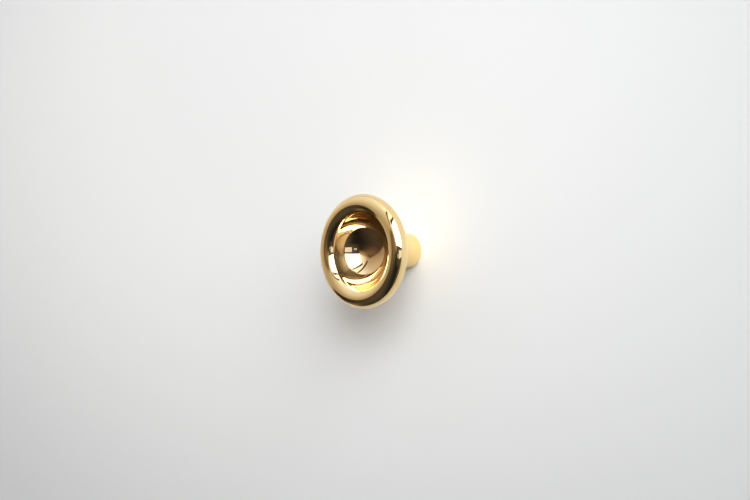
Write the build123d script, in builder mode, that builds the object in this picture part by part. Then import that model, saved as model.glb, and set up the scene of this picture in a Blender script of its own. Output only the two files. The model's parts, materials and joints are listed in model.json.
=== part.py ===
from build123d import *
from math import acos, degrees, radians, sqrt, tan
import os

# A cabinet knob turned from one piece of brass: a rim of round section, a spherical dish that runs
# smoothly out of it, and a short straight stem that stands on the door.
# The door is the plane Y = 0, the knob's axis runs along -Y into the room, and +Z is up.
# All sizes are in millimetres and all angles in degrees.

# Head: the stand-off is from the door to the middle of the rim, the dish's depth from the rim's front
head_diameter = 38.0
rim_diameter = 6.5
rim_standoff = 22.2
dish_depth = 12.6
dish_wall = 2.5
rim_back_fillet = 1.2

# Stem
stem_diameter = 11.7
stem_fillet = 3.0
stem_edge_chamfer = 0.35

# Tapped hole for the fixing screw, drilled to the thread's core diameter
hole_diameter = 3.3
hole_depth = 9.0
drill_point_angle = 118.0
countersink_diameter = 4.4
countersink_angle = 90.0

# Rim: a circle that is turned about the axis
rim_radius = rim_diameter / 2
ring_radius = head_diameter / 2 - rim_radius
rim_center = Vector(ring_radius, -rim_standoff)

# Dish: the one sphere that touches the rim's circle and lies dish_depth behind the rim's front
center_distance = (ring_radius**2 + dish_depth**2) / (2 * dish_depth)
dish_radius = center_distance - rim_radius
dish_floor = Vector(0, dish_depth - rim_radius - rim_standoff)
dish_center = dish_floor - Vector(0, dish_radius)
dish_to_rim = (rim_center - dish_center).normalized()
dish_edge = dish_center + dish_to_rim * dish_radius

# Back of the head: the dish's own sphere, a wall's thickness further out, from the stem to the rim
back_radius = dish_radius + dish_wall
stem_radius = stem_diameter / 2
stem_corner = Vector(stem_radius, dish_center.Y + sqrt(back_radius**2 - stem_radius**2))
rim_corner_cosine = (center_distance**2 + back_radius**2 - rim_radius**2) / (2 * center_distance * back_radius)
rim_corner = dish_center + dish_to_rim.rotate(Axis.Z, degrees(acos(rim_corner_cosine))) * back_radius

# Hole: a countersunk mouth, a straight wall and the drill's point
hole_radius = hole_diameter / 2
countersink_radius = countersink_diameter / 2
countersink_depth = (countersink_radius - hole_radius) / tan(radians(countersink_angle / 2))
drill_point_depth = hole_radius / tan(radians(drill_point_angle / 2))
hole_tip = Vector(0, -hole_depth - drill_point_depth)
stem_foot = Vector(stem_radius, 0)

# Half of the section, drawn with X as the distance from the axis, then turned about the axis
with BuildPart() as knob:
    with BuildSketch(Plane.XY) as section:
        with BuildLine():
            # From the hole's tip out of its mouth, across the end of the stem and up its side
            Polyline(
                hole_tip,
                (hole_radius, -hole_depth),
                (hole_radius, -countersink_depth),
                (countersink_radius, 0),
                stem_foot,
                stem_corner,
            )
            # Back of the head, round the rim, and down into the dish
            RadiusArc(stem_corner, rim_corner, back_radius)
            RadiusArc(rim_corner, dish_edge, -rim_radius, short_sagitta=False)
            RadiusArc(dish_edge, dish_floor, -dish_radius)
            Line(dish_floor, hole_tip)
        make_face()
        fillet(section.vertices().sort_by_distance(stem_corner)[0], stem_fillet)
        fillet(section.vertices().sort_by_distance(rim_corner)[0], rim_back_fillet)
        chamfer(section.vertices().sort_by_distance(stem_foot)[0], stem_edge_chamfer)
    revolve(axis=Axis.Y)

knob.part.label = "knob"
os.makedirs("parts", exist_ok=True)
export_step(knob.part, "parts/knob.step")
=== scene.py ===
import json
import math

import bpy
from mathutils import Matrix, Vector


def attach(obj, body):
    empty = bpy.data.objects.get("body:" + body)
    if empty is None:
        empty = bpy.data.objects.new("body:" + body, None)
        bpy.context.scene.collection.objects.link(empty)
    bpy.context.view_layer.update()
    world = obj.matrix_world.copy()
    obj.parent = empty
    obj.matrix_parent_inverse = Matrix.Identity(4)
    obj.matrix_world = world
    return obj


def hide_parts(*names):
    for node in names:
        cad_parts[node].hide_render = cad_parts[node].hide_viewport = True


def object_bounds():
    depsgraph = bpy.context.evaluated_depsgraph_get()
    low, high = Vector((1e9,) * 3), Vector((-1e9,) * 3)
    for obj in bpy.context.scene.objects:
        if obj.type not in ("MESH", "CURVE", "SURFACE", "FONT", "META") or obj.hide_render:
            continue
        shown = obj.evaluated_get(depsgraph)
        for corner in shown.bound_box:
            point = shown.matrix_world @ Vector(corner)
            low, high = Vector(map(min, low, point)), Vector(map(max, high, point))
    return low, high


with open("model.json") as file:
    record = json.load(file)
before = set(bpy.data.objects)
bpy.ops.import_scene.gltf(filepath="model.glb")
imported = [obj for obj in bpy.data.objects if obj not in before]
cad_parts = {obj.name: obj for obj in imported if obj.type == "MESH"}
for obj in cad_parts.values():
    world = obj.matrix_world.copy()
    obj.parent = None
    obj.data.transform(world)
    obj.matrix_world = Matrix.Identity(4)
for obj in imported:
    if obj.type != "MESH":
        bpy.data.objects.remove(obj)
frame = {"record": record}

CAD_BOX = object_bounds()
MM = 0.001

# Sizes of the knob, in millimetres. The head's width and the reach from the door come from the frame.
HEAD_RADIUS = CAD_BOX[1].x / MM
REACH = -CAD_BOX[0].y / MM
RIM_RADIUS = 3.25
DISH_DEPTH = 12.6
DISH_WALL = 2.5
RIM_BACK_FILLET = 1.2
STEM_RADIUS = 5.85
STEM_FILLET = 3.0
STEM_EDGE_CHAMFER = 0.35
COUNTERSINK_RADIUS = 2.2
COUNTERSINK_DEPTH = 0.55
DRILL_POINT_ANGLE = 118.0

# The rim is a circle that is turned about the axis, and the dish the one sphere that runs smoothly out of it
RING_RADIUS = HEAD_RADIUS - RIM_RADIUS
RIM_FROM_DOOR = RIM_RADIUS - REACH
RIM_TO_DISH_CENTER = (RING_RADIUS**2 + DISH_DEPTH**2) / (2 * DISH_DEPTH)
DISH_RADIUS = RIM_TO_DISH_CENTER - RIM_RADIUS
DISH_FLOOR = DISH_DEPTH - REACH
DISH_CENTER = DISH_FLOOR - DISH_RADIUS

# The tapped hole's core radius and wall come from the record. The thread is the standard one for it. Its
# flank starts and ends at parts of a pitch from the middle of the crest.
SCREW_HOLE = next(mount for mount in frame["record"]["mounts"] if mount["name"] == "screw_hole")
HOLE_RADIUS = SCREW_HOLE["dims"]["r_mm"]
HOLE_DEPTH = COUNTERSINK_DEPTH + SCREW_HOLE["dims"]["length_mm"]
THREAD_PITCH = 0.7
THREAD_DEPTH = 0.35
FLANK_START = 0.1
FLANK_END = 0.45

# How finely the section and the turn are divided, with angles in degrees, and how near points are joined, in
# millimetres
SEGMENTS = 192
ARC_STEP = 2.0
THREAD_ROWS_PER_PITCH = 10
SHARPEST_SMOOTH_BEND = 25.0
SEAM_WELD = 0.001

# The brass's finish, in millimetres: the lines and waves of the buffing wheel, the rings of the turning
# under them, the clouds in its colour, and the tool's rings on the end of the stem
BUFFING_LINE = 0.3
BUFFING_WAVE = 6.0
BUFFING_WAVE_HEIGHT = 0.012
TURNING_RING = 1.1
TURNING_RING_HEIGHT = 0.004
POLISH_CLOUD = 9.0
TOOL_RING = 0.2
TOOL_RING_HEIGHT = 0.004

# How rough the brass is, from the smoothest of its lines to the roughest, buffed and as cut. Most of a noise
# pattern lies between the two values after that.
BUFFED_ROUGHNESS = (0.01, 0.03)
CUT_ROUGHNESS = (0.2, 0.35)
NOISE_LOW = 0.3
NOISE_HIGH = 0.7

# The dish's own finish and painted light, in millimetres: how soon they give way to the rim's, how far
# from the axis and how low its wall turns from the brown of painted shade to the pale of painted
# highlight, and the smear of polish. The smear lies towards one side, at an angle in degrees round the
# axis. It starts and is full at two distances that way, and thins out away from the axis. The shares are
# how brown the painted shade makes the upper wall, and how much the haze and the smear veil the mirror.
DISH_FADE = 1.0
PAINTED_SHADE_RADIUS = 6.0
PALE_RADIUS = 12.0
PAINTED_SHADE_HEIGHT = 12.0
PALE_HEIGHT = -6.0
SMEAR_ANGLE = 220.0
SMEAR_START = 8.5
SMEAR_FULL = 10.8
SMEAR_THINS = 11.3
SMEAR_END = 12.8
UPPER_PAINTED_SHADE_SHARE = 0.9
HAZE_SHARE = 0.014
SMEAR_SHARE = 0.26
SMEAR_END_SHARE = 0.05

# The board's paint and painted light, in millimetres: where its painted pool of light is palest, how far
# the painted light and shade spread each way, the shades at parts of that spread, and its grain
PAINTED_LIGHT_MIDDLE = (-62.0, 0.0, 57.0)
PAINTED_LIGHT_SPREAD = (735.0, 2000.0, 470.0)
BOARD_PAINTED_LIGHT = ((0.115, "#FAF9F2"), (0.5, "#D0CFCB"), (0.8, "#FAF9F2"))
SPRAY_GRAIN = 1.5
SPRAY_GRAIN_HEIGHT = 0.006

# The photograph: its frame, the lens in pixels, and where the middle of the rim shows in it. The sensor is
# in millimetres, and the nearest thing that the camera sees in metres.
PHOTO_WIDTH = 750
PHOTO_HEIGHT = 500
LENS_PIXELS = 2000.0
HEAD_PIXELS = 114.9
RIM_PIXEL = (363.27, 251.4)
VIEW_AZIMUTH = 44.1
VIEW_ELEVATION = 0.9
SENSOR_WIDTH = 36.0
NEAREST_SEEN = 0.01

# The studio, in metres and degrees: a pale board behind the knob, whose opening the stem's end laps over, a
# light tent over it, and a tall soft light on the camera's right. The brightness of a cloth is 1 where it is
# white.
BOARD_GAP = 0.00005
BOARD_LAP = 0.0001
BOARD_RADIUS = 0.6
BOARD_SIDES = 64
TENT_RADIUS = 15.0
TENT_STEP = 2.0
LIGHT_AZIMUTH = 50.0
LIGHT_DISTANCE = 2.2
LIGHT_LEVEL = 7.9

# How bright the tent's cloth is at each height in degrees, from its foot up to straight overhead
CLOTH_LEVELS = ((-90, 0.28), (-20, 0.38), (4, 0.53), (22, 0.78), (45, 0.95), (68, 1.12), (90, 1.15))

# The dark floor under the cloth, how high its edge stands from the far left to the far right, and how soft
# the edge is there, in degrees
FLOOR_LEVEL = 0.05
FLOOR_EDGE = (
    (-90, -20), (-70, -16), (-60, -12), (-42, -8), (-30, 2), (0, 19), (8, 15), (20, 3), (30, 1), (60, -10),
    (90, -14))
FLOOR_SOFTNESS = ((-90, 2), (-70, 2), (-40, 5), (-10, 3), (0, 3), (20, 6), (60, 4), (90, 4))

# Lighter and darker patches of the floor and the cloth: the change in brightness, then the middle and the
# spread of the patch sideways, and the same upwards, in degrees
FLOOR_PATCHES = (
    (-0.035, (42, 34), (-30, 200)),
    (-0.035, (-63, 12), (-22, 8)),
    (0.20, (-78, 16), (-40, 7)),
    (0.035, (-25, 25), (-35, 25)),
    (0.16, (-6, 25), (4, 14)),
    (0.14, (14, 12), (6, 7)),
    (0.12, (90, 22), (-30, 200)),
)
CLOTH_PATCHES = (
    (-0.17, (-3, 33), (18, 28)),
    (0.10, (-90, 28), (0, 45)),
    (0.30, (12, 28), (66, 14)),
)

# The cloth's colour by its brightness: next to none where it is dark, lamplight where it is dim, and
# daylight where it is bright
CLOTH_TINTS = (
    (0.04, "#FFF9F6"), (0.15, "#FFDFBE"), (0.5, "#FFF1DF"), (0.8, "#FFFAFC"), (1.0, "#FAF9FE"),
    (LIGHT_LEVEL, "#EEF4FF"))

# The flat panels that hang across the soft light's direction: how near each hangs, as a part of the light's
# distance, the glow at each corner, and the corners, sideways and up as parts of the panel's own distance
PANELS = (
    ("soft_light", 1.0, (LIGHT_LEVEL,) * 5,
     ((-0.30, 0.15), (0.80, 0.15), (0.80, 2.03), (0.10, 1.24), (-0.47, 0.76))),
    ("soft_edge", 1.0, (0.65, 1.7, 1.8, 0.85),
     ((-0.85, 0.42), (-0.30, 0.15), (-0.47, 0.76), (-0.85, 0.74))),
    ("faint_edge", 1.0, (0.5, 0.65, 0.85, 0.6),
     ((-1.05, 0.52), (-0.85, 0.42), (-0.85, 0.74), (-1.05, 0.70))),
    ("light_surround", 1.0, (1.0, 1.5, 1.8, 1.8, 1.3, 1.3, 1.8, 1.8),
     ((-0.95, 0.70), (-0.47, 0.76), (0.10, 1.24), (0.80, 2.03), (0.80, 6.0), (0.30, 5.0), (-0.30, 2.6),
      (-0.76, 1.35))),
    ("upper_bar", 0.98, (0.14,) * 6,
     ((-0.54, 0.73), (0.12, 1.25), (0.80, 2.03), (0.80, 2.60), (0.12, 1.54), (-0.62, 0.96))),
    ("side_bar", 0.98, (0.14,) * 7,
     ((-1.07, 0.70), (-0.85, 0.70), (-0.62, 1.40), (-0.14, 2.50), (-0.46, 2.60), (-0.72, 2.0),
      (-0.92, 1.35))),
    ("lower_flag", 0.99, (0.03, 0.12, 0.20, 0.08),
     ((-0.30, -0.40), (0.80, -0.40), (0.80, 0.15), (-0.30, 0.15))),
    ("low_panel", 0.97, (1.05,) * 4,
     ((0.105, -0.21), (0.80, -0.21), (0.80, 0.04), (0.105, 0.04))),
    ("low_strip", 0.97, (0.75,) * 4,
     ((-0.15, -0.16), (0.0, -0.16), (0.0, -0.06), (-0.15, -0.06))),
)


def linear(code):
    """An sRGB hex colour as linear red, green, blue and alpha."""
    channels = [int(code[i:i + 2], 16) / 255 for i in (1, 3, 5)]
    values = [c / 12.92 if c <= 0.04045 else ((c + 0.055) / 1.055) ** 2.4 for c in channels]
    return (*values, 1.0)


def add_node(tree, kind, settings=None, inputs=None):
    """Adds a node, sets its properties, then sets or links its inputs."""
    node = tree.nodes.new(kind)
    for name, value in (settings or {}).items():
        setattr(node, name, value)
    for key, value in (inputs or {}).items():
        if isinstance(value, bpy.types.NodeSocket):
            tree.links.new(value, node.inputs[key])
        else:
            node.inputs[key].default_value = value
    return node


def new_material(name):
    """An empty material, with its node tree."""
    material = bpy.data.materials.new(name)
    material.use_nodes = True
    material.node_tree.nodes.clear()
    return material, material.node_tree


def fill_ramp(ramp, stops):
    """Gives a colour ramp its stops, each a place along it and an sRGB hex colour."""
    while len(ramp.elements) < len(stops):
        ramp.elements.new(1.0)
    for element, (position, code) in zip(ramp.elements, stops):
        element.position = position
        element.color = linear(code)


def place_on_lathe(tree):
    """The place on the brass, its distance from the axis, and the pair that is the same all round it."""
    place = add_node(tree, "ShaderNodeTexCoord").outputs["Object"]
    spokes = add_node(tree, "ShaderNodeVectorMath", {"operation": "MULTIPLY"}, {0: place, 1: (1, 0, 1)})
    radius = add_node(tree, "ShaderNodeVectorMath", {"operation": "LENGTH"}, {0: spokes.outputs[0]})
    parts = add_node(tree, "ShaderNodeSeparateXYZ", inputs={0: place})
    ring = add_node(tree, "ShaderNodeCombineXYZ", inputs={
        "X": radius.outputs["Value"], "Y": parts.outputs["Y"]})
    return place, radius.outputs["Value"], ring.outputs[0]


def clouded_colour(tree, place, deeper, paler):
    """A colour that drifts between two shades in soft clouds."""
    clouds = add_node(tree, "ShaderNodeTexNoise", inputs={
        "Vector": place, "Scale": 1 / (POLISH_CLOUD * MM), "Detail": 2.0})
    tint = add_node(tree, "ShaderNodeValToRGB", inputs={"Fac": clouds.outputs["Fac"]})
    fill_ramp(tint.color_ramp, ((NOISE_LOW, deeper), (NOISE_HIGH, paler)))
    return tint.outputs["Color"]


def wheel_marks(tree, place, ring):
    """The wavering of the mirror: broad waves of the wheel, and under them the rings of the turning."""
    waves = add_node(tree, "ShaderNodeTexNoise", inputs={
        "Vector": place, "Scale": 1 / (BUFFING_WAVE * MM), "Detail": 0.0})
    wavy = add_node(tree, "ShaderNodeBump", inputs={
        "Height": waves.outputs["Fac"], "Distance": BUFFING_WAVE_HEIGHT * MM})
    rings = add_node(tree, "ShaderNodeTexNoise", {"noise_dimensions": "2D"}, {
        "Vector": ring, "Scale": 1 / (TURNING_RING * MM), "Detail": 1.0})
    waver = add_node(tree, "ShaderNodeBump", inputs={
        "Height": rings.outputs["Fac"], "Distance": TURNING_RING_HEIGHT * MM, "Normal": wavy.outputs[0]})
    return waver.outputs[0]


def inside_dish(tree, place):
    """1 on the dish's sphere, falling to 0 on the rim."""
    away = add_node(tree, "ShaderNodeVectorMath", {"operation": "DISTANCE"}, {
        0: place, 1: (0, DISH_CENTER * MM, 0)})
    inside = add_node(tree, "ShaderNodeMapRange", {"interpolation_type": "SMOOTHSTEP"}, {
        "Value": away.outputs["Value"], "From Min": DISH_RADIUS * MM,
        "From Max": (DISH_RADIUS + DISH_FADE) * MM, "To Min": 1.0, "To Max": 0.0})
    return inside.outputs[0]


def dish_painted_light(tree, place, radius):
    """The dish's brass with painted light: a paler highlight low on its wall, browner shade in the middle
    and above.
    """
    # Painted light: browner painted shade in the middle and high on the wall, a paler painted highlight low
    # on it
    parts = add_node(tree, "ShaderNodeSeparateXYZ", inputs={0: place})
    above = add_node(tree, "ShaderNodeMapRange", {"interpolation_type": "SMOOTHSTEP"}, {
        "Value": parts.outputs["Z"], "From Min": PALE_HEIGHT * MM, "From Max": PAINTED_SHADE_HEIGHT * MM,
        "To Min": 0.0, "To Max": UPPER_PAINTED_SHADE_SHARE})
    brown = add_node(tree, "ShaderNodeMapRange", {"interpolation_type": "SMOOTHSTEP"}, {
        "Value": radius, "From Min": PAINTED_SHADE_RADIUS * MM, "From Max": PALE_RADIUS * MM,
        "To Min": 1.0, "To Max": above.outputs[0]})
    colour = add_node(tree, "ShaderNodeMix", {"data_type": "RGBA"}, {
        0: brown.outputs[0], 6: linear("#FAE5BC"), 7: linear("#DBB885")})
    return colour.outputs[2]


def dish_haze(tree, place, radius):
    """A thin haze all over the dish, and the smear of polish low on one side of its wall."""
    side = math.radians(SMEAR_ANGLE)
    aside = add_node(tree, "ShaderNodeVectorMath", {"operation": "DOT_PRODUCT"}, {
        0: place, 1: (math.cos(side), 0, math.sin(side))})
    thickness = add_node(tree, "ShaderNodeMapRange", {"interpolation_type": "SMOOTHSTEP"}, {
        "Value": radius, "From Min": SMEAR_THINS * MM, "From Max": SMEAR_END * MM,
        "To Min": SMEAR_SHARE, "To Max": SMEAR_END_SHARE})
    haze = add_node(tree, "ShaderNodeMapRange", {"interpolation_type": "SMOOTHSTEP"}, {
        "Value": aside.outputs["Value"], "From Min": SMEAR_START * MM, "From Max": SMEAR_FULL * MM,
        "To Min": HAZE_SHARE, "To Max": thickness.outputs[0]})
    return haze.outputs[0]


# Polished brass, turned and buffed on a wheel: a clear mirror, tinted warm yellow, whose reflections waver a
# little. Buffing lines run round the axis. The dish carries painted light: painted shade makes its middle
# and the wall above it browner, and painted highlight makes its lower wall paler. A smear of dried polish
# veils one side of the dish.
# Real buffing lines are a few hundredths of a millimetre apart, so they are drawn coarser to show.
def polished_brass():
    material, tree = new_material("polished_brass_buffed")
    place, radius, ring = place_on_lathe(tree)
    in_dish = inside_dish(tree, place)
    waver = wheel_marks(tree, place, ring)
    tint = clouded_colour(tree, place, "#F3D598", "#F7DDA4")
    # In the dish, the colour carries painted shade and painted highlight
    colour = add_node(tree, "ShaderNodeMix", {"data_type": "RGBA"}, {
        0: in_dish, 6: tint, 7: dish_painted_light(tree, place, radius)})
    lines = add_node(tree, "ShaderNodeTexNoise", {"noise_dimensions": "2D"}, {
        "Vector": ring, "Scale": 1 / (BUFFING_LINE * MM), "Detail": 2.0})
    gloss = add_node(tree, "ShaderNodeMapRange", inputs={
        "Value": lines.outputs["Fac"], "From Min": NOISE_LOW, "From Max": NOISE_HIGH,
        "To Min": BUFFED_ROUGHNESS[0], "To Max": BUFFED_ROUGHNESS[1]})
    mirror = add_node(tree, "ShaderNodeBsdfPrincipled", inputs={
        "Base Color": colour.outputs[2], "Metallic": 1.0, "Roughness": gloss.outputs[0], "Normal": waver})

    # The lines scatter light across themselves, so the haze is drawn out from the axis
    around = add_node(tree, "ShaderNodeVectorMath", {"operation": "CROSS_PRODUCT"}, {0: place, 1: (0, 1, 0)})
    facing = add_node(tree, "ShaderNodeNewGeometry")
    across = add_node(tree, "ShaderNodeVectorMath", {"operation": "CROSS_PRODUCT"}, {
        0: around.outputs[0], 1: facing.outputs["Normal"]})
    veil = add_node(tree, "ShaderNodeBsdfPrincipled", inputs={
        "Base Color": linear("#FCD28E"), "Metallic": 1.0, "Roughness": 0.4, "Anisotropic": 0.7,
        "Tangent": across.outputs[0], "Normal": waver})

    veiled = add_node(tree, "ShaderNodeMath", {"operation": "MULTIPLY"}, {
        0: in_dish, 1: dish_haze(tree, place, radius)})
    buffed = add_node(tree, "ShaderNodeMixShader", inputs={
        0: veiled.outputs[0], 1: mirror.outputs[0], 2: veil.outputs[0]})
    add_node(tree, "ShaderNodeOutputMaterial", inputs={"Surface": buffed.outputs[0]})
    return material


# Brass as it leaves the lathe, on the end of the stem and in the hole: duller than the rest, with the fine
# rings of the tool round the axis, and patchy where the cutting oil dried.
# Real tool rings are some hundredths of a millimetre apart, so they are drawn coarser to show.
def turned_brass():
    material, tree = new_material("turned_brass_as_cut")
    place, _, ring = place_on_lathe(tree)
    rings = add_node(tree, "ShaderNodeTexNoise", {"noise_dimensions": "2D"}, {
        "Vector": ring, "Scale": 1 / (TOOL_RING * MM), "Detail": 2.0})
    dull = add_node(tree, "ShaderNodeMapRange", inputs={
        "Value": rings.outputs["Fac"], "From Min": NOISE_LOW, "From Max": NOISE_HIGH,
        "To Min": CUT_ROUGHNESS[0], "To Max": CUT_ROUGHNESS[1]})
    cut = add_node(tree, "ShaderNodeBump", inputs={
        "Height": rings.outputs["Fac"], "Distance": TOOL_RING_HEIGHT * MM})
    shader = add_node(tree, "ShaderNodeBsdfPrincipled", inputs={
        "Base Color": clouded_colour(tree, place, "#DDB878", "#ECCE97"), "Metallic": 1.0,
        "Roughness": dull.outputs[0], "Normal": cut.outputs[0]})
    add_node(tree, "ShaderNodeOutputMaterial", inputs={"Surface": shader.outputs["BSDF"]})
    return material


# Painted board, sprayed and rubbed smooth: a clean white with hardly any gloss. Painted light lies on it: a
# pool of light palest round the knob, painted shade greyer towards the corners of the picture, and pale
# again beyond, where only the rim mirrors it. A camera that looks from behind doesn't see it, so that the
# knob's back can be seen.
# The spray's grain is too fine to show, so it is drawn coarser.
def board_with_painted_light():
    material, tree = new_material("board_paint_with_painted_light")
    place = add_node(tree, "ShaderNodeTexCoord").outputs["Object"]
    # Painted light: a pool of light round the knob, and painted shade towards the corners of the picture
    spread = add_node(tree, "ShaderNodeMapping", {"vector_type": "TEXTURE"}, {
        "Vector": place, "Location": Vector(PAINTED_LIGHT_MIDDLE) * MM, "Scale": Vector(PAINTED_LIGHT_SPREAD) * MM})
    away = add_node(tree, "ShaderNodeVectorMath", {"operation": "LENGTH"}, {0: spread.outputs[0]})
    shade = add_node(tree, "ShaderNodeValToRGB", inputs={"Fac": away.outputs["Value"]})
    shade.color_ramp.interpolation = "EASE"
    fill_ramp(shade.color_ramp, BOARD_PAINTED_LIGHT)
    grain = add_node(tree, "ShaderNodeTexNoise", inputs={
        "Vector": place, "Scale": 1 / (SPRAY_GRAIN * MM), "Detail": 3.0})
    skin = add_node(tree, "ShaderNodeBump", inputs={
        "Height": grain.outputs["Fac"], "Distance": SPRAY_GRAIN_HEIGHT * MM})
    paint = add_node(tree, "ShaderNodeBsdfPrincipled", inputs={
        "Base Color": shade.outputs["Color"], "Roughness": 0.8, "Normal": skin.outputs[0]})
    clear = add_node(tree, "ShaderNodeBsdfTransparent")
    side = add_node(tree, "ShaderNodeNewGeometry")
    ray = add_node(tree, "ShaderNodeLightPath")
    hidden = add_node(tree, "ShaderNodeMath", {"operation": "MULTIPLY"}, {
        0: side.outputs["Backfacing"], 1: ray.outputs["Is Camera Ray"]})
    mixed = add_node(tree, "ShaderNodeMixShader", inputs={
        0: hidden.outputs[0], 1: paint.outputs[0], 2: clear.outputs[0]})
    add_node(tree, "ShaderNodeOutputMaterial", inputs={"Surface": mixed.outputs[0]})
    return material


# White cloth lit from behind: an even glow, the colour of lamplight where it is dim and of daylight where it
# is bright
def lit_cloth():
    material, tree = new_material("white_cloth_lit")
    glow = add_node(tree, "ShaderNodeAttribute", {"attribute_name": "glow"})
    share = add_node(tree, "ShaderNodeMath", {"operation": "DIVIDE"}, {
        0: glow.outputs["Fac"], 1: LIGHT_LEVEL})
    tint = add_node(tree, "ShaderNodeValToRGB", inputs={"Fac": share.outputs[0]})
    fill_ramp(tint.color_ramp, [(level / LIGHT_LEVEL, code) for level, code in CLOTH_TINTS])
    light = add_node(tree, "ShaderNodeEmission", inputs={
        "Color": tint.outputs["Color"], "Strength": glow.outputs["Fac"]})
    add_node(tree, "ShaderNodeOutputMaterial", inputs={"Surface": light.outputs[0]})
    return material


def arc_points(center, radius, start, end):
    """Points on an arc in the section's plane, from one angle to another, both in degrees."""
    steps = max(3, math.ceil(abs(end - start) / ARC_STEP))
    angles = [math.radians(start + (end - start) * i / steps) for i in range(steps + 1)]
    return [center + radius * Vector((math.cos(a), math.sin(a))) for a in angles]


def heading(vector):
    """The angle of a direction in the section's plane, in degrees."""
    return math.degrees(math.atan2(vector.y, vector.x))


def head_and_stem_outline():
    """The polished part of the section: the dish, the rim, the back of the head and the stem."""
    rim = Vector((RING_RADIUS, RIM_FROM_DOOR))
    dish = Vector((0, DISH_CENTER))
    back_radius = DISH_RADIUS + DISH_WALL
    to_rim = heading(rim - dish)

    # Fillet between the rim and the back of the head
    rim_reach = RIM_RADIUS + RIM_BACK_FILLET
    back_reach = back_radius + RIM_BACK_FILLET
    cosine = (RIM_TO_DISH_CENTER**2 + back_reach**2 - rim_reach**2) / (2 * RIM_TO_DISH_CENTER * back_reach)
    to_rim_fillet = to_rim + math.degrees(math.acos(cosine))
    turn = math.radians(to_rim_fillet)
    rim_fillet = dish + back_reach * Vector((math.cos(turn), math.sin(turn)))

    # Fillet between the back of the head and the stem
    stem_reach = STEM_RADIUS + STEM_FILLET
    stem_fillet = dish + Vector((stem_reach, math.sqrt((back_radius + STEM_FILLET)**2 - stem_reach**2)))
    to_stem_fillet = heading(stem_fillet - dish)

    return [
        *arc_points(dish, DISH_RADIUS, 90, to_rim),
        *arc_points(rim, RIM_RADIUS, to_rim - 180, heading(rim_fillet - rim))[1:],
        *arc_points(rim_fillet, RIM_BACK_FILLET, heading(rim - rim_fillet), to_rim_fillet - 180)[1:],
        *arc_points(dish, back_radius, to_rim_fillet, to_stem_fillet)[1:],
        *arc_points(stem_fillet, STEM_FILLET, to_stem_fillet + 180, 180)[1:],
        Vector((STEM_RADIUS, -STEM_EDGE_CHAMFER)),
        Vector((STEM_RADIUS - STEM_EDGE_CHAMFER, 0)),
    ]


def hole_outline():
    """The turned part of the section, from the stem's end face into the hole, with the thread's share."""
    length = HOLE_DEPTH - COUNTERSINK_DEPTH
    rows = round(length / THREAD_PITCH * THREAD_ROWS_PER_PITCH)
    points = [(Vector((COUNTERSINK_RADIUS, 0)), 0.0)]
    for i in range(rows + 1):
        runout = min(1.0, (rows - i) / THREAD_ROWS_PER_PITCH)
        points.append((Vector((HOLE_RADIUS, -COUNTERSINK_DEPTH - length * i / rows)), runout))
    point_depth = HOLE_RADIUS / math.tan(math.radians(DRILL_POINT_ANGLE / 2))
    points.append((Vector((0, -HOLE_DEPTH - point_depth)), 0.0))
    return points


def knob_section():
    """The section as a line of points, marked with the thread's share and where the brass is left as cut."""
    outer = head_and_stem_outline()
    inner = hole_outline()
    points = [point * MM for point in [*outer, *[point for point, share in inner]]]
    mesh = bpy.data.meshes.new("knob_section")
    edges = [(i, i + 1) for i in range(len(points) - 1)]
    mesh.from_pydata([(point.x, point.y, 0) for point in points], edges, [])
    thread = mesh.attributes.new("thread", "FLOAT", "POINT")
    thread.data.foreach_set("value", [0.0] * len(outer) + [share for point, share in inner])
    as_cut = mesh.attributes.new("as_cut", "BOOLEAN", "POINT")
    as_cut.data.foreach_set("value", [False] * (len(outer) - 1) + [True] * (len(inner) + 1))
    section = bpy.data.objects.new("knob_section", mesh)
    bpy.context.scene.collection.objects.link(section)
    return section


def turn_grid(tree, section, segments):
    """A grid with a row for each point of the section and a column for each step of the turn.

    With it come each grid point's row and how much of the turn it has made.
    """
    count = add_node(tree, "GeometryNodeAttributeDomainSize", {"component": "MESH"}, {"Geometry": section})
    columns = add_node(tree, "FunctionNodeIntegerMath", {"operation": "ADD"}, {0: segments, 1: 1})
    grid = add_node(tree, "GeometryNodeMeshGrid", inputs={
        "Vertices X": count.outputs["Point Count"], "Vertices Y": columns.outputs[0]})
    index = add_node(tree, "GeometryNodeInputIndex")
    row = add_node(tree, "FunctionNodeIntegerMath", {"operation": "DIVIDE_FLOOR"}, {
        0: index.outputs[0], 1: columns.outputs[0]})
    column = add_node(tree, "FunctionNodeIntegerMath", {"operation": "MODULO"}, {
        0: index.outputs[0], 1: columns.outputs[0]})
    turn = add_node(tree, "ShaderNodeMath", {"operation": "DIVIDE"}, {0: column.outputs[0], 1: segments})
    return grid.outputs["Mesh"], row.outputs[0], turn.outputs[0]


def thread_groove(tree, given, point, share, turn):
    """The section's point, moved outwards where the thread's groove passes. A turn climbs one pitch."""
    place = add_node(tree, "ShaderNodeSeparateXYZ", inputs={0: point})
    pitches = add_node(tree, "ShaderNodeMath", {"operation": "DIVIDE"}, {
        0: place.outputs["Y"], 1: given["Thread Pitch"]})
    phase = add_node(tree, "ShaderNodeMath", {"operation": "ADD"}, {0: pitches.outputs[0], 1: turn})
    flank = add_node(tree, "ShaderNodeMath", {"operation": "PINGPONG"}, {0: phase.outputs[0], 1: 0.5})
    groove = add_node(tree, "ShaderNodeMapRange", inputs={
        "Value": flank.outputs[0], "From Min": FLANK_START, "From Max": FLANK_END,
        "To Min": 0.0, "To Max": given["Thread Depth"]})
    cut = add_node(tree, "ShaderNodeMath", {"operation": "MULTIPLY_ADD"}, {
        0: groove.outputs[0], 1: share, 2: place.outputs["X"]})
    grooved = add_node(tree, "ShaderNodeCombineXYZ", inputs={"X": cut.outputs[0], "Y": place.outputs["Y"]})
    return grooved.outputs[0]


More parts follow.
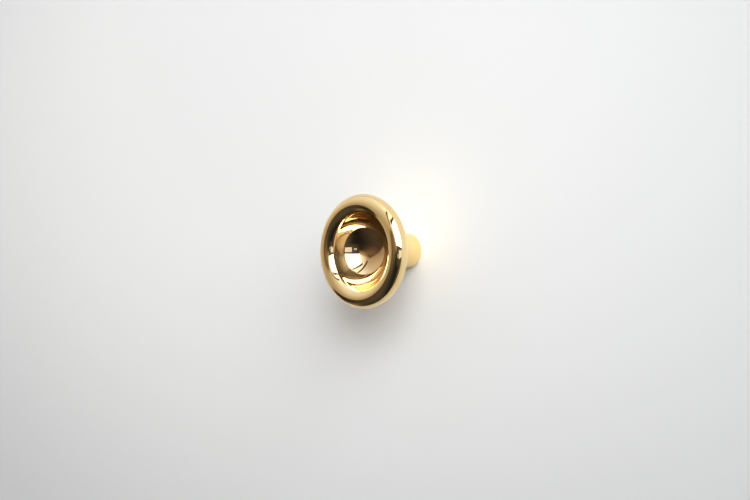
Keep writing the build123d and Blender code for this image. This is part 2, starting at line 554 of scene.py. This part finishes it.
def closed_skin(tree, grid, point, turn, mark):
    """The grid with each column turned to its angle, and its seam and its two ends on the axis closed."""
    # Turned backwards, so that the faces point outwards
    angle = add_node(tree, "ShaderNodeMath", {"operation": "MULTIPLY"}, {0: turn, 1: -math.tau})
    turned = add_node(tree, "ShaderNodeVectorRotate", {"rotation_type": "Y_AXIS"}, {
        "Vector": point, "Angle": angle.outputs[0]})
    marked = add_node(tree, "GeometryNodeStoreNamedAttribute", {"data_type": "BOOLEAN", "domain": "POINT"}, {
        "Geometry": grid, "Name": "as_cut", "Value": mark})
    shaped = add_node(tree, "GeometryNodeSetPosition", inputs={
        "Geometry": marked.outputs[0], "Position": turned.outputs[0]})
    closed = add_node(tree, "GeometryNodeMergeByDistance", inputs={
        "Geometry": shaped.outputs[0], "Distance": SEAM_WELD * MM})
    return closed.outputs[0]


def smooth_skin(tree, skin):
    """Smooth shading everywhere but at the edges that the tool leaves."""
    smooth = add_node(tree, "GeometryNodeSetShadeSmooth", {"domain": "FACE"}, {
        "Geometry": skin, "Shade Smooth": True})
    bend = add_node(tree, "GeometryNodeInputMeshEdgeAngle")
    edge = add_node(tree, "FunctionNodeCompare", {"operation": "GREATER_THAN"}, {
        0: bend.outputs["Unsigned Angle"], 1: math.radians(SHARPEST_SMOOTH_BEND)})
    crisp = add_node(tree, "GeometryNodeSetShadeSmooth", {"domain": "EDGE"}, {
        "Geometry": smooth.outputs[0], "Selection": edge.outputs[0], "Shade Smooth": False})
    return crisp.outputs[0]


def turning_tree():
    """Turns a line of points about the Y axis into a closed skin, with a right-hand thread where marked."""
    tree = bpy.data.node_groups.new("turned_about_axis", "GeometryNodeTree")
    for name, kind in (
            ("Section", "NodeSocketGeometry"), ("Segments", "NodeSocketInt"),
            ("Thread Pitch", "NodeSocketFloat"), ("Thread Depth", "NodeSocketFloat"),
            ("Polished", "NodeSocketMaterial"), ("As Cut", "NodeSocketMaterial")):
        tree.interface.new_socket(name, in_out="INPUT", socket_type=kind)
    tree.interface.new_socket("Knob", in_out="OUTPUT", socket_type="NodeSocketGeometry")
    given = add_node(tree, "NodeGroupInput").outputs
    grid, row, turn = turn_grid(tree, given["Section"], given["Segments"])

    # The section's own point and its marks for each row
    position = add_node(tree, "GeometryNodeInputPosition")
    point = add_node(tree, "GeometryNodeSampleIndex", {"data_type": "FLOAT_VECTOR"}, {
        "Geometry": given["Section"], "Value": position.outputs[0], "Index": row})
    thread = add_node(tree, "GeometryNodeInputNamedAttribute", {"data_type": "FLOAT"}, {"Name": "thread"})
    share = add_node(tree, "GeometryNodeSampleIndex", {"data_type": "FLOAT"}, {
        "Geometry": given["Section"], "Value": thread.outputs[0], "Index": row})
    as_cut = add_node(tree, "GeometryNodeInputNamedAttribute", {"data_type": "BOOLEAN"}, {"Name": "as_cut"})
    mark = add_node(tree, "GeometryNodeSampleIndex", {"data_type": "BOOLEAN"}, {
        "Geometry": given["Section"], "Value": as_cut.outputs[0], "Index": row})

    grooved = thread_groove(tree, given, point.outputs[0], share.outputs[0], turn)
    skin = closed_skin(tree, grid, grooved, turn, mark.outputs[0])
    solid = add_node(tree, "GeometryNodeRealizeInstances", inputs={"Geometry": smooth_skin(tree, skin)})
    polished = add_node(tree, "GeometryNodeSetMaterial", inputs={
        "Geometry": solid.outputs[0], "Material": given["Polished"]})
    finished = add_node(tree, "GeometryNodeSetMaterial", inputs={
        "Geometry": polished.outputs[0], "Selection": as_cut.outputs[0], "Material": given["As Cut"]})
    add_node(tree, "NodeGroupOutput", inputs={0: finished.outputs[0]})
    return tree


def plain_mesh(host):
    """The evaluated result of an object's modifiers as a mesh of its own."""
    depsgraph = bpy.context.evaluated_depsgraph_get()
    return bpy.data.meshes.new_from_object(host.evaluated_get(depsgraph), depsgraph=depsgraph)


def turned_knob():
    """The knob as one closed mesh, turned from its section."""
    section = knob_section()
    modifier = section.modifiers.new("turning", "NODES")
    modifier.node_group = turning_tree()
    sockets = {s.name: s.identifier for s in modifier.node_group.interface.items_tree}
    modifier[sockets["Segments"]] = SEGMENTS
    modifier[sockets["Thread Pitch"]] = THREAD_PITCH * MM
    modifier[sockets["Thread Depth"]] = THREAD_DEPTH * MM
    modifier[sockets["Polished"]] = polished_brass()
    modifier[sockets["As Cut"]] = turned_brass()
    knob = bpy.data.objects.new("turned_knob", plain_mesh(section))
    bpy.context.scene.collection.objects.link(knob)
    bpy.data.objects.remove(section)
    return knob


def stage_object(name, points, faces, material):
    """A part of the studio."""
    mesh = bpy.data.meshes.new(name)
    mesh.from_pydata(points, [], faces)
    mesh.materials.append(material)
    stage = bpy.data.objects.new(name, mesh)
    bpy.context.scene.collection.objects.link(stage)
    return stage


def lit_object(name, points, faces, levels, cloth):
    """A lit or dark cloth of the studio, with its own glow at each point. The camera doesn't see it."""
    stage = stage_object(name, points, faces, cloth)
    stage.visible_camera = False
    glow = stage.data.attributes.new("glow", "FLOAT", "POINT")
    glow.data.foreach_set("value", levels)


def direction(azimuth, elevation):
    """The way to a place in the room, from straight out of the board towards +X and upwards, in degrees."""
    a = math.radians(azimuth)
    e = math.radians(elevation)
    return Vector((math.sin(a) * math.cos(e), -math.cos(a) * math.cos(e), math.sin(e)))


def add_board():
    """The pale board, with a round opening that the end of the stem covers."""
    opening = (STEM_RADIUS - STEM_EDGE_CHAMFER) * MM - BOARD_LAP
    points = []
    for radius in (opening, BOARD_RADIUS):
        for i in range(BOARD_SIDES):
            angle = math.tau * i / BOARD_SIDES
            points.append((radius * math.cos(angle), BOARD_GAP, radius * math.sin(angle)))
    faces = []
    for i in range(BOARD_SIDES):
        j = (i + 1) % BOARD_SIDES
        faces.append((i, BOARD_SIDES + i, BOARD_SIDES + j, j))
    stage_object("door_board", points, faces, board_with_painted_light())


def between(table, value):
    """Reads a number off a table of rising points, on the straight line between two of them."""
    for (low, first), (high, second) in zip(table, table[1:]):
        if value <= high:
            return first + (second - first) * (value - low) / (high - low)
    return table[-1][1]


def patched(level, patches, azimuth, elevation):
    """A brightness with the soft patches added that reach a place."""
    for change, (across, width), (up, height) in patches:
        level += change * math.exp(-((azimuth - across) / width)**2 - ((elevation - up) / height)**2)
    return level


def tent_level(azimuth, elevation):
    """How bright the tent is towards a place: lit cloth above, and a dark floor that rises in front."""
    floor = patched(FLOOR_LEVEL, FLOOR_PATCHES, azimuth, elevation)
    cloth = patched(between(CLOTH_LEVELS, elevation), CLOTH_PATCHES, azimuth, elevation)
    above_edge = elevation - between(FLOOR_EDGE, azimuth)
    lit = min(1.0, max(0.0, 0.5 + above_edge / (2 * between(FLOOR_SOFTNESS, azimuth))))
    return floor + (cloth - floor) * lit * lit * (3 - 2 * lit)


def add_tent(cloth):
    """A half dome of lit cloth in front of the board, dark below."""
    steps = round(180 / TENT_STEP)
    points = []
    levels = []
    for i in range(steps + 1):
        for j in range(steps + 1):
            elevation = -90 + i * TENT_STEP
            azimuth = -90 + j * TENT_STEP
            points.append(TENT_RADIUS * direction(azimuth, elevation))
            levels.append(tent_level(azimuth, elevation))
    faces = []
    for i in range(steps):
        for j in range(steps):
            low = i * (steps + 1) + j
            high = low + steps + 1
            faces.append((low, high, high + 1, low + 1))
    lit_object("light_tent", points, faces, levels, cloth)


def add_panels(cloth):
    """The tall soft light, its pale surround, and the dark bars and low panels about it."""
    toward = direction(LIGHT_AZIMUTH, 0)
    aside = direction(LIGHT_AZIMUTH + 90, 0)
    up = Vector((0, 0, 1))
    middle = Vector((0, RIM_FROM_DOOR * MM, 0))
    for name, nearness, levels, corners in PANELS:
        distance = LIGHT_DISTANCE * nearness
        points = [middle + distance * (toward + side * aside + rise * up) for side, rise in corners]
        lit_object(name, points, [tuple(range(len(points)))], levels, cloth)


def add_world():
    """A plain pale background, which also lights what the tent leaves."""
    world = bpy.data.worlds.new("pale_background")
    bpy.context.scene.world = world
    world.use_nodes = True
    tree = world.node_tree
    tree.nodes.clear()
    pale = add_node(tree, "ShaderNodeBackground", inputs={"Color": linear("#EFEEEC"), "Strength": 1.0})
    add_node(tree, "ShaderNodeOutputWorld", inputs={"Surface": pale.outputs[0]})


def add_camera():
    """The photograph's camera, placed so that the middle of the rim shows at its pixel."""
    back = direction(VIEW_AZIMUTH, VIEW_ELEVATION)
    right = direction(VIEW_AZIMUTH + 90, 0)
    up = back.cross(right)
    pixel = 2 * HEAD_RADIUS * MM / HEAD_PIXELS
    rim = Vector((0, RIM_FROM_DOOR * MM, 0))
    aside = (PHOTO_WIDTH / 2 - RIM_PIXEL[0]) * pixel
    above = (RIM_PIXEL[1] - PHOTO_HEIGHT / 2) * pixel
    place = rim + back * LENS_PIXELS * pixel + right * aside + up * above
    data = bpy.data.cameras.new("photo_camera")
    data.sensor_width = SENSOR_WIDTH
    data.lens = SENSOR_WIDTH * LENS_PIXELS / PHOTO_WIDTH
    data.clip_start = NEAREST_SEEN
    camera = bpy.data.objects.new("photo_camera", data)
    camera.matrix_world = Matrix.Translation(place) @ Matrix((right, up, back)).transposed().to_4x4()
    bpy.context.scene.collection.objects.link(camera)
    bpy.context.scene.camera = camera


knob = turned_knob()
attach(knob, "root")
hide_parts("knob")

cloth = lit_cloth()
add_board()
add_tent(cloth)
add_panels(cloth)
add_world()
add_camera()

scene = bpy.context.scene
scene.view_settings.view_transform = "Standard"
# The dish mirrors itself several times over
scene.cycles.max_bounces = 16
scene.cycles.glossy_bounces = 12
